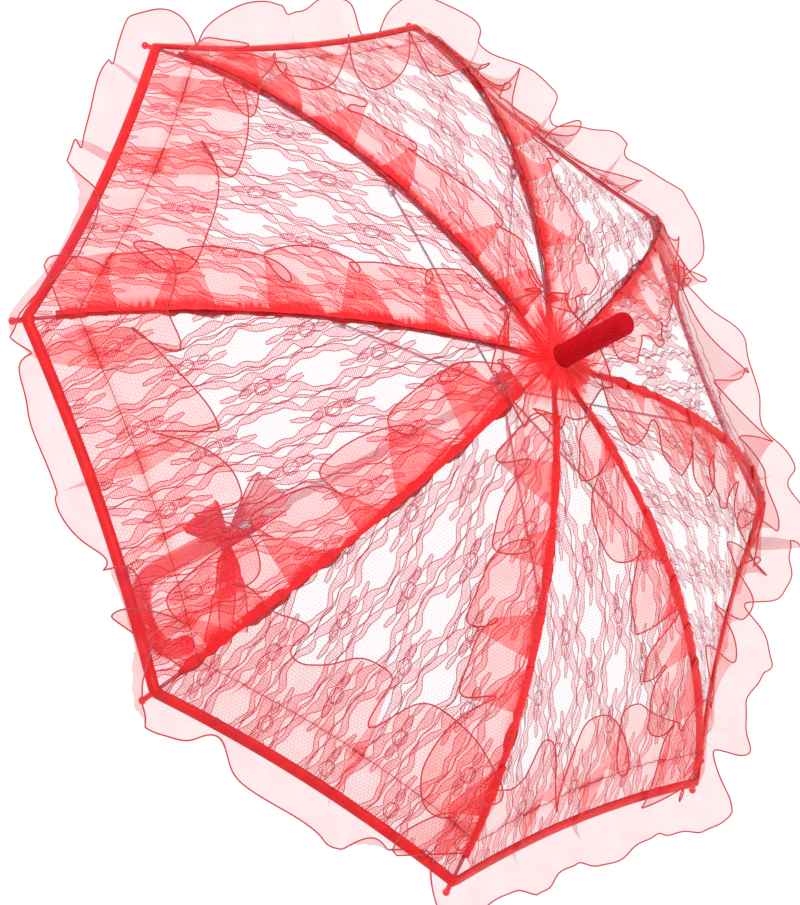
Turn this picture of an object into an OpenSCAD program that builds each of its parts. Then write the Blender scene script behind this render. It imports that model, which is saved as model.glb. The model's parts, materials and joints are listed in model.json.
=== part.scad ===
// Lace parasol with eight ribs, a sliding runner and a crook handle, shown open.
// +Z runs up the shaft to the ferrule, the origin is the middle of the straight grip,
// and the crook points along +X.

/* [Canopy] */
// Radius of the circle through the rib tips
open_radius = 365; // [330:5:400]
// Height of the rib tips above the middle of the grip
tips_z = 355; // [340:5:370]
// Bend radius of a rib
rib_bend = 463.5; // [455:0.5:480]
// How far the lace sags below the ribs, half way between two of them, at the hem
lace_sag = 12; // [5:1:50]
// How far the hem curves in between two ribs, as a share of the radius
hem_scallop = 0.025; // [0.01:0.005:0.1]
// Thickness of the lace solid
lace_t = 1; // [0.8:0.1:1.5]

/* [Ruffles] */
// How far the hem ruffle hangs past the hem
ruffle_drop = 34; // [20:1:40]
// How far the hem ruffle reaches in over the lace
ruffle_inner = 60; // [40:1:80]
// Width of the ruffle beside each rib
rib_ruffle_w = 57; // [40:1:60]
// Radius of the rosette at the crown
rosette_r = 54; // [40:1:55]
// Thickness of every ruffle solid
ruffle_t = 1.2; // [0.8:0.1:1.5]

/* [Frame] */
// Radius of the tubular shaft
shaft_r = 4; // [3.5:0.1:4.2]
// Radius of a rib wire
rib_r = 1.4; // [1.2:0.1:1.5]
// Radius of a stretcher rod
stretcher_r = 1; // [0.8:0.1:1.1]
// Radius of the circle of rib pivots in the top notch and in the runner
pivot_r = 9; // [8.5:0.1:9.5]
// Distance from the shaft to the stretcher joint on a rib
joint_r = 177; // [165:1:190]
// Height of the runner's sleeve
runner_h = 42; // [40:1:46]

/* [Handle and ferrule] */
// Radius of the handle
handle_r = 9.5; // [8.5:0.1:10.5]
// Half of the length of the straight grip below the origin
grip_below = 55; // [50:1:60]
// Length of the grip above the origin
grip_above = 59; // [50:1:70]
// Bend radius of the crook
crook_bend = 36.5; // [32:0.5:40]
// Radius of the ferrule sleeve
ferrule_r = 8.75; // [7:0.25:10]
// Length of the ferrule sleeve
ferrule_len = 78; // [60:1:90]

/* [Hidden] */
RIBS = 8;
pitch = 360 / RIBS;
half = pitch / 2;
// The first rib's angle; the ribs lie evenly on both sides of the crook's plane
first_rib = -157.5;

// The ribs are arcs about this point in their own plane
arc_x = 25;
arc_z = tips_z - sqrt(pow(rib_bend, 2) - pow(open_radius - arc_x, 2));
// A chord from a rib to the middle of a gore falls short of the rib by these shares of its radius
chord_in = pow(sin(half), 2);
chord_side = sin(half) * cos(half);

lace_lift = 2.5;
hem_lift = lace_lift + lace_t + 0.7;
band_lift = hem_lift + ruffle_t + 0.6;
lace_inner = 14;
lace_outer = open_radius - 7;
gap = 0.2;

pivot_z = rib_z(pivot_r);
lug_drop = 2.4;
joint_z = rib_z(joint_r) - lug_drop;
arm = norm([joint_r - pivot_r, pivot_z - joint_z]);
arm_tilt = atan2(pivot_z - joint_z, joint_r - pivot_r);
runner_z = 2 * joint_z - pivot_z;
// Angle that each rib turns through as the parasol closes, and the runner's travel for it
close_angle = 62;
travel = 2 * arm * (sin(arm_tilt + close_angle) - sin(arm_tilt));

notch_r = 11.8;
notch_h = 8;
slot_w = 2.4;
slot_in = 6.6;
wire_r = 0.45;
groove_h = 1;
eye_w = 1.6;
rivet_r = 0.75;
bore_clear = 0.06;
runner_wall = 2.2;
runner_top = runner_z + 8;
runner_bottom = runner_top - runner_h;
window_low = 8;
window_h = 15;

shaft_wall = 0.8;
shaft_in_handle = 40;
ferrule_z = 509.8;
shaft_top = ferrule_z + ferrule_len - 14;
catch_out = 7.4;
catch_h = 12;
leaf_x = 1.4;
leaf_t = 1.2;
leaf_len = 38;
top_catch_z = runner_bottom - 0.6;
low_catch_z = runner_bottom - travel + window_low + 1.5;

$fn = 48;

// Height of a rib's centre line at distance r from the shaft
function rib_z(r) = arc_z + sqrt(pow(rib_bend, 2) - pow(r - arc_x, 2));

// Angle from the nearest rib, for a point given in the frame of any rib
function off_rib(x, y) = let(a = abs(atan2(y, x)) % pitch) min(a, pitch - a);

// Share of the way from a rib to the middle of a gore, 0 to 1
function across(x, y) = let(q = tan(off_rib(x, y))) q / (chord_side + chord_in * q);

// Height of the stretched lace: ribs are ridges, and the cloth sags between them
function cloth_z(x, y) =
    let(v = across(x, y), r = norm([x, y]) * cos(off_rib(x, y)) / (1 - chord_in * v))
    rib_z(r) - lace_sag * pow(r / open_radius, 1.6) * v * (2 - v);

// Point at a distance above the cloth, square to it
function above(x, y, lift) =
    let(e = 0.5,
        gx = (cloth_z(x + e, y) - cloth_z(x - e, y)) / (2 * e),
        gy = (cloth_z(x, y + e) - cloth_z(x, y - e)) / (2 * e),
        n = [-gx, -gy, 1] / norm([gx, gy, 1]))
    [x, y, cloth_z(x, y)] + lift * n;

// Point on the cloth at rib radius r and share v of the half gore, with its sign
function on_chord(r, v) = [r * (1 - chord_in * abs(v)), chord_side * r * v];
// The largest share at radius r that keeps clear of the next rib's cloth
function edge(r) = 1 - gap / (chord_side * r * cos(half));
// Radius at which the hem crosses share v
function hem_r(v) = lace_outer - hem_scallop * open_radius * abs(v) * (2 - abs(v));

// Closed solid between a lower and an upper grid of points, both [row][column]
module between(low, high) {
    rows = len(low);
    cols = len(low[0]);
    count = rows * cols;
    points = concat([for (row = low) for (p = row) p], [for (row = high) for (p = row) p]);
    function at(i, j) = i * cols + j;
    skins = [for (i = [0 : rows - 2]) for (j = [0 : cols - 2]) each [
        [at(i, j), at(i + 1, j + 1), at(i, j + 1)],
        [at(i, j), at(i + 1, j), at(i + 1, j + 1)],
        [count + at(i, j), count + at(i, j + 1), count + at(i + 1, j + 1)],
        [count + at(i, j), count + at(i + 1, j + 1), count + at(i + 1, j)]]];
    rim = concat([for (j = [0 : cols - 1]) at(0, j)],
                 [for (i = [1 : rows - 1]) at(i, cols - 1)],
                 [for (j = [cols - 2 : -1 : 0]) at(rows - 1, j)],
                 [for (i = [rows - 2 : -1 : 1]) at(i, 0)]);
    walls = [for (k = [0 : len(rim) - 1]) let(a = rim[k], b = rim[(k + 1) % len(rim)]) each [
        [a, b, count + b], [a, count + b, count + a]]];
    polyhedron(points, concat(skins, walls));
}

module on_rib(i) { rotate([0, 0, first_rib + pitch * (i - 1)]) children(); }

// Cylinder along Y, centred at the origin
module barrel(r, w) { rotate([90, 0, 0]) cylinder(r = r, h = w, center = true); }

// Square-cut groove round a hub for its pivot wire, and a slot for each rib or stretcher
module hub_cuts(z, below, up) {
    translate([0, 0, z]) rotate_extrude()
        translate([pivot_r - wire_r - 0.05, -groove_h / 2]) square([6, groove_h]);
    for (i = [1 : RIBS]) on_rib(i)
        translate([slot_in, -slot_w / 2, z - below]) cube([notch_r, slot_w, below + up]);
}

module wire_ring(z) {
    color("silver") translate([0, 0, z]) rotate_extrude() translate([pivot_r, 0]) circle(r = wire_r, $fn = 24);
}

module spring_slot(z, h) { translate([0, -0.85, z]) cube([shaft_r + 1, 1.7, h]); }

module shaft() {
    color("silver") difference() {
        translate([0, 0, grip_above - shaft_in_handle])
            cylinder(r = shaft_r, h = shaft_top - grip_above + shaft_in_handle);
        translate([0, 0, grip_above - shaft_in_handle - 1])
            cylinder(r = shaft_r - shaft_wall, h = shaft_top - grip_above + shaft_in_handle + 2);
        spring_slot(top_catch_z - catch_h - 2, catch_h + 3);
        spring_slot(low_catch_z - 1, catch_h + 3);
        translate([0, 0, runner_top + 1.5]) barrel(1, 4 * shaft_r);
    }
}

module stop_pin() {
    color("dimgray") translate([0, 0, runner_top + 1.5]) barrel(1, 2 * shaft_r + 2.6);
}

// Straight grip, a bend of half a turn and a short round-ended tail
module crook_handle() {
    tail = 10;
    color("crimson") difference() {
        union() {
            translate([0, 0, -grip_below]) cylinder(r = handle_r, h = grip_below + grip_above - 3);
            translate([0, 0, grip_above - 3]) cylinder(r1 = handle_r, r2 = handle_r - 2.5, h = 3);
            translate([crook_bend, 0, -grip_below]) rotate([90, 0, 0])
                rotate_extrude(angle = -180) translate([crook_bend, 0]) circle(r = handle_r);
            translate([2 * crook_bend, 0, -grip_below]) {
                cylinder(r = handle_r, h = tail);
                translate([0, 0, tail]) sphere(r = handle_r);
            }
        }
        translate([0, 0, grip_above - shaft_in_handle]) cylinder(r = shaft_r, h = shaft_in_handle + 1);
    }
}

module top_notch() {
    color("dimgray") difference() {
        translate([0, 0, pivot_z - notch_h / 2]) cylinder(r = notch_r, h = notch_h);
        translate([0, 0, pivot_z - notch_h]) cylinder(r = shaft_r, h = 2 * notch_h);
        hub_cuts(pivot_z, notch_h, notch_h);
    }
}

module notch_wire() { wire_ring(pivot_z); }

module runner_wire() { wire_ring(runner_z); }

// Sleeve with a slotted flange near its top and a window that the lower spring snaps into
module runner() {
    outer = shaft_r + runner_wall;
    color("dimgray") difference() {
        union() {
            translate([0, 0, runner_bottom]) cylinder(r = outer, h = runner_h);
            translate([0, 0, runner_z - notch_h / 2]) cylinder(r = notch_r, h = notch_h);
        }
        translate([0, 0, runner_bottom - 1]) cylinder(r = shaft_r + bore_clear, h = runner_h + 2);
        hub_cuts(runner_z, notch_h, notch_h);
        translate([0, -1, runner_bottom + window_low]) cube([outer + 1, 2, window_h]);
    }
}

// Leaf in the shaft with a wedge that sticks out of the shaft's slot
module leaf_spring(outline) {
    color("gold") rotate([90, 0, 0]) linear_extrude(height = leaf_t, center = true) polygon(outline);
}

// Its flat ledge faces up and carries the open runner
module top_spring() {
    z = top_catch_z;
    leaf_spring([[leaf_x, z - leaf_len], [leaf_x + leaf_t, z - leaf_len], [leaf_x + leaf_t, z - catch_h],
                 [catch_out, z - 2], [catch_out, z], [leaf_x, z]]);
}

// Its flat ledge faces down and holds the closed runner
module bottom_spring() {
    z = low_catch_z;
    leaf_spring([[leaf_x, z - leaf_len], [leaf_x + leaf_t, z - leaf_len], [leaf_x + leaf_t, z],
                 [catch_out, z], [catch_out, z + 2], [leaf_x + leaf_t, z + catch_h], [leaf_x, z + catch_h]]);
}

// Fabric-wrapped sleeve with a rounded end, over the top of the shaft
module ferrule_sleeve() {
    round = 4;
    color("darkred") translate([0, 0, ferrule_z]) difference() {
        rotate_extrude() union() {
            square([ferrule_r, ferrule_len - round]);
            square([ferrule_r - round, ferrule_len]);
            translate([ferrule_r - round, ferrule_len - round]) circle(r = round);
        }
        translate([0, 0, -1]) cylinder(r = shaft_r, h = ferrule_len - 13);
    }
}

// Gathered disc round the foot of the ferrule, wavy at its rim
module crown_rosette() {
    low = ferrule_z - 2;
    waves = 16;
    turns = 96;
    function rise(r, a) = 1.6 * pow(r / rosette_r, 2) * (1 + sin(waves * a));
    function ring(r, lift) = [for (k = [0 : turns - 1]) let(a = 360 * k / turns)
        [r * cos(a), r * sin(a), low + lift + rise(r, a)]];
    rings = concat([for (r = [shaft_r + 5, 24, 40, rosette_r]) ring(r, 0)],
                   [for (r = [rosette_r, 40, 24, shaft_r + 5]) ring(r, ruffle_t)]);
    m = len(rings);
    function at(i, k) = (i % m) * turns + k % turns;
    color("tomato") polyhedron([for (row = rings) each row],
        [for (i = [0 : m - 1]) for (k = [0 : turns - 1]) each [
            [at(i, k), at(i + 1, k), at(i + 1, k + 1)], [at(i, k), at(i + 1, k + 1), at(i, k + 1)]]]);
}

// Outline of one bow loop seen from its edge: a teardrop that narrows to the knot
module teardrop(r, reach) {
    circle(r = r);
    polygon([[0, 0.96 * r], [reach, 0], [0, -0.96 * r]]);
}

// Ribbon bow at the top of the handle: a band, a knot, two loops and two tails
module ribbon_bow() {
    z = grip_above + 9;
    knot = [shaft_r + 6, -5, z];
    ribbon_w = 24;
    loop_r = 9;
    reach = 48;
    tail_len = 78;
    color("tomato") union() {
        difference() {
            translate([0, 0, z - 4]) cylinder(r = shaft_r + 3, h = 8);
            translate([0, 0, z - 5]) cylinder(r = shaft_r + 0.1, h = 10);
        }
        translate(knot) sphere(r = 6);
        for (turn = [65, 245]) translate(knot) rotate([0, -20, turn]) translate([-reach, 0, 0])
            linear_extrude(height = ribbon_w, center = true) difference() {
                teardrop(loop_r, reach);
                teardrop(loop_r - 1.2, reach - 8);
            }
        for (side = [-1, 1]) translate(knot) rotate([0, 24 - side * 26, side * 9 - 9])
            translate([0, -ribbon_w / 2, -0.6]) cube([tail_len, ribbon_w, 1.2]);
    }
}

// Wire rib with a flat eye at the notch wire and a lug for its stretcher
module rib(i) {
    neck = 8;
    start = acos((pivot_r + neck - arc_x) / rib_bend);
    end = acos((open_radius - 1 - arc_x) / rib_bend);
    color("silver") on_rib(i) difference() {
        union() {
            translate([arc_x, 0, arc_z]) rotate([90, 0, 0]) rotate([0, 0, end])
                rotate_extrude(angle = start - end) translate([rib_bend, 0]) circle(r = rib_r, $fn = 24);
            translate([pivot_r, 0, pivot_z]) {
                barrel(1.8, eye_w);
                rotate([0, -2, 0]) translate([0, -eye_w / 2, -1.2]) cube([neck + 2, eye_w, 2.4]);
            }
            translate([joint_r, 0, joint_z]) barrel(2.4, 3.2);
            translate([joint_r - 2, -1.6, joint_z]) cube([4, 3.2, lug_drop]);
        }
        translate([pivot_r, 0, pivot_z]) barrel(wire_r + 0.15, 4);
        translate([joint_r, 0, joint_z]) barrel(rivet_r + 0.05, 6);
    }
}

// Ball tip on a short socket
module rib_tip(i) {
    lean = 90 + atan2(open_radius - arc_x, tips_z - arc_z);
    color("crimson") on_rib(i) translate([open_radius, 0, tips_z]) rotate([0, lean, 0]) difference() {
        union() {
            translate([0, 0, -6]) cylinder(r = 2.1, h = 9);
            translate([0, 0, 4]) sphere(r = 2.9);
        }
        translate([0, 0, -7]) cylinder(r = rib_r + 0.05, h = 6);
    }
}

// Rod with an open hook over the runner wire and a riveted fork on the rib's lug.
// The hook is open on top, where the wire leaves it half way through the fold.
module stretcher(i) {
    hook_r = 1.25;
    hook_t = 1;
    ear_w = 1;
    ear_gap = 3.5;
    arm_z = -hook_r;
    color("gray") on_rib(i) translate([pivot_r, 0, runner_z]) rotate([0, -arm_tilt, 0]) {
        rotate([90, 0, 0]) linear_extrude(height = eye_w, center = true) {
            difference() {
                circle(r = hook_r + hook_t / 2);
                circle(r = hook_r - hook_t / 2);
                polygon([[0, 0], [0, -3], [3, -3], [3, 3], [3 * cos(118) , 3]]);
            }
            translate([0, arm_z - hook_t / 2]) square([9, hook_t]);
        }
        translate([8, 0, arm_z]) rotate([0, 90, 0]) cylinder(r = stretcher_r, h = arm - 16);
        translate([arm - 10, -ear_gap / 2 - ear_w, arm_z - 1]) cube([4, ear_gap + 2 * ear_w, 2]);
        for (side = [-1, 1]) translate([arm, side * (ear_gap + ear_w) / 2, 0]) {
            barrel(1.9, ear_w);
            translate([-8, -ear_w / 2, arm_z - 0.6]) cube([8, ear_w, 2.2]);
        }
        translate([arm, 0, 0]) barrel(rivet_r, ear_gap + 2 * ear_w);
    }
}

// The cloth of two half gores, which lies over one rib
module lace(i) {
    cols = 6;
    steps = 9;
    rows = [for (j = [0 : steps]) j / steps];
    function row(t, lift) = [for (k = [-cols : cols]) let(
        v = k / cols,
        r = lace_inner + t * (hem_r(v) - lace_inner),
        p = on_chord(r, v * edge(r))) above(p.x, p.y, lift)];
    color("mistyrose") on_rib(i)
        between([for (t = rows) row(t, lace_lift)], [for (t = rows) row(t, lace_lift + lace_t)]);
}

// Gathered strip over the hem: flat inside the hem, waving outside it
module hem_ruffle(i) {
    cols = 12;
    flutes = 3;
    wave = 3;
    offsets = [-ruffle_inner, -ruffle_inner / 2, 0, ruffle_drop / 2, ruffle_drop];
    function ripple(s, v) = s <= 0 ? 0 : wave * s / ruffle_drop * (1 - cos(360 * flutes * v));
    function row(s, lift) = [for (k = [-cols : cols]) let(
        v = k / cols,
        r = hem_r(v) + s,
        p = on_chord(r, v * edge(r))) above(p.x, p.y, lift + ripple(s, v))];
    color("tomato") on_rib(i)
        between([for (s = offsets) row(s, hem_lift)], [for (s = offsets) row(s, hem_lift + ruffle_t)]);
}

// Gathered strip sewn along a rib, all of it on the clockwise side seen from above
module rib_ruffle(i) {
    steps = 14;
    cols = 4;
    wave = 1.5;
    first = rosette_r + 4;
    last = open_radius - 25;
    function width(r) = min(rib_ruffle_w, 0.62 * r);
    function row(t, lift) = let(r = first + t * (last - first)) [for (k = [-cols : 0]) let(
        y = k / cols * width(r) * (0.9 + 0.1 * sin(7 * 360 * t)))
        above(r, y - 0.2, lift + wave * pow(k / cols, 2) * (1 + sin(7 * 360 * t)))];
    rows = [for (j = [0 : 2 * steps]) j / (2 * steps)];
    color("tomato") on_rib(i)
        between([for (t = rows) row(t, band_lift)], [for (t = rows) row(t, band_lift + ruffle_t)]);
}

shaft();
crook_handle();
top_notch();
notch_wire();
ferrule_sleeve();
crown_rosette();
ribbon_bow();
stop_pin();
runner();
runner_wire();
top_spring();
bottom_spring();
rib(1);  // rib_1
rib(2);  // rib_2
rib(3);  // rib_3
rib(4);  // rib_4
rib(5);  // rib_5
rib(6);  // rib_6
rib(7);  // rib_7
rib(8);  // rib_8
rib_tip(1);  // rib_tip_1
rib_tip(2);  // rib_tip_2
rib_tip(3);  // rib_tip_3
rib_tip(4);  // rib_tip_4
rib_tip(5);  // rib_tip_5
rib_tip(6);  // rib_tip_6
rib_tip(7);  // rib_tip_7
rib_tip(8);  // rib_tip_8
stretcher(1);  // stretcher_1
stretcher(2);  // stretcher_2
stretcher(3);  // stretcher_3
stretcher(4);  // stretcher_4
stretcher(5);  // stretcher_5
stretcher(6);  // stretcher_6
stretcher(7);  // stretcher_7
stretcher(8);  // stretcher_8
lace(1);  // lace_1
lace(2);  // lace_2
lace(3);  // lace_3
lace(4);  // lace_4
lace(5);  // lace_5
lace(6);  // lace_6
lace(7);  // lace_7
lace(8);  // lace_8
hem_ruffle(1);  // hem_ruffle_1
hem_ruffle(2);  // hem_ruffle_2
hem_ruffle(3);  // hem_ruffle_3
hem_ruffle(4);  // hem_ruffle_4
hem_ruffle(5);  // hem_ruffle_5
hem_ruffle(6);  // hem_ruffle_6
hem_ruffle(7);  // hem_ruffle_7
hem_ruffle(8);  // hem_ruffle_8
rib_ruffle(1);  // rib_ruffle_1
rib_ruffle(2);  // rib_ruffle_2
rib_ruffle(3);  // rib_ruffle_3
rib_ruffle(4);  // rib_ruffle_4
rib_ruffle(5);  // rib_ruffle_5
rib_ruffle(6);  // rib_ruffle_6
rib_ruffle(7);  // rib_ruffle_7
rib_ruffle(8);  // rib_ruffle_8
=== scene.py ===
import json
import math
import random

import bpy
import numpy as np
from mathutils import Matrix, Vector


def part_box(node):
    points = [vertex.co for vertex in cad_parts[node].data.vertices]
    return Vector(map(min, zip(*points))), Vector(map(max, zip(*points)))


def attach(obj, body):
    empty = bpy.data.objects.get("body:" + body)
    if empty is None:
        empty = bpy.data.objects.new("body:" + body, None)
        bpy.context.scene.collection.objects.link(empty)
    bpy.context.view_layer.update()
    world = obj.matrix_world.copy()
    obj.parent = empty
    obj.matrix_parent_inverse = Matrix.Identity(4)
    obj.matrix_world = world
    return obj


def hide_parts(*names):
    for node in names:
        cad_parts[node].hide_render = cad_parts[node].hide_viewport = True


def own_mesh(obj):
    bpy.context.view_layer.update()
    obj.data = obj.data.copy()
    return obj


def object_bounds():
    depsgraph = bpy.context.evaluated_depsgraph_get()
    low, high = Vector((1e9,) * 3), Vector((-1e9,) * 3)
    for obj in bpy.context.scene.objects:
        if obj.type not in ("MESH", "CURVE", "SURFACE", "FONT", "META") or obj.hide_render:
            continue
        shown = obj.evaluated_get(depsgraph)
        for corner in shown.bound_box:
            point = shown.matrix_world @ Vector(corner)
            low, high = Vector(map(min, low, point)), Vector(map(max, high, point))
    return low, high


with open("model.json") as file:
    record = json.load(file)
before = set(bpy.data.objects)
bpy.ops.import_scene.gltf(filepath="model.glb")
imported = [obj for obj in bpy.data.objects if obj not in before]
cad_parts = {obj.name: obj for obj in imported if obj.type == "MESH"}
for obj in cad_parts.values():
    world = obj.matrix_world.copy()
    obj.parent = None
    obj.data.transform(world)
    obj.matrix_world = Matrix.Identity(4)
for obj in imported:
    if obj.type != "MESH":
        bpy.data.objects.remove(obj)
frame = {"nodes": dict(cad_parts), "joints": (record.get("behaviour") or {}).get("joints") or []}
cad_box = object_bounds()

# ---------------------------------------------------------------- sizes, in metres, as in the CAD model
OPEN_R = 0.365          # circle through the rib tips
TIPS_Z = 0.355
RIB_BEND = 0.4635       # bend radius of a rib
ARC_X = 0.025           # centre of that bend, from the shaft, and its height
ARC_Z = TIPS_Z - math.sqrt(RIB_BEND**2 - (OPEN_R - ARC_X) ** 2)
SAG = 0.012             # how far the lace sags between ribs at the hem
SCALLOP = 0.025         # how far the hem curves in, as a share of OPEN_R
HALF = math.pi / 8      # half of the angle between two ribs
CHORD_IN = math.sin(HALF) ** 2   # half a chord between ribs goes this share of the radius inwards
CHORD_SIDE = math.sin(HALF) * math.cos(HALF)   # and this share sideways
CROWN_R = 0.012         # where the lace starts at the hub
HEM_R = OPEN_R - 0.003  # where the hem crosses a rib
LACE_LIFT = 0.0018      # the lace lies this far above the ribs' centre lines
FERRULE_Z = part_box("ferrule_sleeve")[0].z
FERRULE_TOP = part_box("ferrule_sleeve")[1].z
FERRULE_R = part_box("ferrule_sleeve")[1].x
RIBS = range(1, 9)


def rib_angle(i):
    """The direction of rib i, from its hinge's axis."""
    axis = next(j for j in frame["joints"] if j["name"] == f"rib_hinge_{i}")["axis"]
    return math.atan2(-axis[0], axis[1])


ANGLE = {i: rib_angle(i) for i in RIBS}


# ---------------------------------------------------------------- the stretched cloth as a surface over x, y
def rib_z(r):
    """Height of a rib's centre line at distance r from the shaft."""
    return ARC_Z + np.sqrt(RIB_BEND**2 - (r - ARC_X) ** 2)


def cloth_z(x, y):
    """Height of the lace in a rib's own frame, where the rib lies over the X axis."""
    a = np.abs(np.arctan2(y, x)) % (2 * HALF)
    a = np.minimum(a, 2 * HALF - a)
    q = np.tan(a)
    v = q / (CHORD_SIDE + CHORD_IN * q)
    r = np.hypot(x, y) * np.cos(a) / (1 - CHORD_IN * v)
    return rib_z(r) - SAG * (r / OPEN_R) ** 1.6 * v * (2 - v)


def above(x, y, lift, e=0.0006):
    """Points at a distance above the cloth, square to it. All three may be arrays."""
    x, y = np.broadcast_arrays(np.asarray(x, float), np.asarray(y, float))
    gx = (cloth_z(x + e, y) - cloth_z(x - e, y)) / (2 * e)
    gy = (cloth_z(x, y + e) - cloth_z(x, y - e)) / (2 * e)
    n = np.stack([-gx, -gy, np.ones_like(gx)], -1)
    n /= np.linalg.norm(n, axis=-1, keepdims=True)
    return np.stack([x, y, cloth_z(x, y)], -1) + n * np.asarray(lift)[..., None]


def arc_of(r):
    """Length along a rib from the crown to distance r from the shaft."""
    return RIB_BEND * (np.arcsin((r - ARC_X) / RIB_BEND) - math.asin((CROWN_R - ARC_X) / RIB_BEND))


def r_of(s):
    """Distance from the shaft at length s along a rib. It is arc_of the other way round."""
    return ARC_X + RIB_BEND * np.sin(s / RIB_BEND + math.asin((CROWN_R - ARC_X) / RIB_BEND))


def hem_r(v):
    """The hem at share v of the half gores beside a rib, as a distance r counted on the rib."""
    return HEM_R - SCALLOP * OPEN_R * np.abs(v) * (2 - np.abs(v))


def on_gore(s, v, lift=LACE_LIFT, e=0.0006):
    """Point at length s from the crown and share v (-1 to 1) of the half gores beside a rib."""
    r = r_of(s)
    return above(r * (1 - CHORD_IN * np.abs(v)), CHORD_SIDE * r * v, lift, e)


def turned(points, angle):
    """The points turned about the shaft."""
    c, s = math.cos(angle), math.sin(angle)
    return np.asarray(points) @ np.array([[c, s, 0], [-s, c, 0], [0, 0, 1]])


# ---------------------------------------------------------------- meshes
def mesh_piece(name, points, faces, uvs=None, materials=(), indices=None, smooth=True):
    """An object from points, faces, one uv per point and a material index per face."""
    mesh = bpy.data.meshes.new(name)
    mesh.from_pydata([tuple(p) for p in points], [], [tuple(f) for f in faces])
    if uvs is not None:
        layer = mesh.uv_layers.new(name="UVMap")
        corner = np.array([l.vertex_index for l in mesh.loops])
        layer.data.foreach_set("uv", np.asarray(uvs, np.float32)[corner].ravel())
    for m in materials:
        mesh.materials.append(m)
    if indices is not None:
        mesh.polygons.foreach_set("material_index", np.asarray(indices, np.int32))
    mesh.polygons.foreach_set("use_smooth", [smooth] * len(mesh.polygons))
    mesh.validate()
    mesh.update()
    obj = bpy.data.objects.new(name, mesh)
    bpy.context.scene.collection.objects.link(obj)
    return obj


def grid_faces(rows, cols, flip=False):
    """Quads over a grid of points, row by row."""
    i, j = np.meshgrid(np.arange(rows - 1), np.arange(cols - 1), indexing="ij")
    a = (i * cols + j).ravel()
    quads = np.stack([a, a + 1, a + cols + 1, a + cols], 1)
    return quads[:, ::-1] if flip else quads


def tube(path, radius, sides=6):
    """Points and faces of a tube with capped ends along a path of points."""
    path = np.asarray(path, float)
    tangent = np.gradient(path, axis=0)
    tangent /= np.maximum(np.linalg.norm(tangent, axis=1, keepdims=True), 1e-12)
    side = np.cross(tangent, [0.0, 0.0, 1.0])
    weak = np.linalg.norm(side, axis=1) < 0.05
    side[weak] = np.cross(tangent[weak], [0.3, 1.0, 0.0])
    side /= np.linalg.norm(side, axis=1, keepdims=True)
    up = np.cross(side, tangent)
    turn = np.arange(sides) * 2 * math.pi / sides
    ring = (path[:, None] + radius * (np.cos(turn)[None, :, None] * side[:, None]
                                      + np.sin(turn)[None, :, None] * up[:, None]))
    points = ring.reshape(-1, 3)
    faces = []
    for i in range(len(path) - 1):
        for k in range(sides):
            a, b = i * sides + k, i * sides + (k + 1) % sides
            faces.append((a, a + sides, b + sides, b))
    last = (len(path) - 1) * sides
    faces.append(tuple(range(sides)))
    faces.append(tuple(last + k for k in reversed(range(sides))))
    return points, faces


class Gather:
    """Collects several strips and tubes into one mesh."""

    def __init__(self):
        self.points, self.faces, self.uvs, self.indices = [], [], [], []
        self.count = 0

    def add(self, points, faces, uvs=None, index=0):
        points = np.asarray(points, float).reshape(-1, 3)
        self.points.append(points)
        self.faces += [tuple(int(k) + self.count for k in f) for f in faces]
        self.uvs.append(np.zeros((len(points), 2)) if uvs is None else np.asarray(uvs).reshape(-1, 2))
        self.indices += [index] * len(faces)
        self.count += len(points)

    def piece(self, name, materials, angle=0.0, smooth=True):
        return mesh_piece(name, turned(np.concatenate(self.points), angle), self.faces,
                          np.concatenate(self.uvs), materials, self.indices, smooth)


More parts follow.
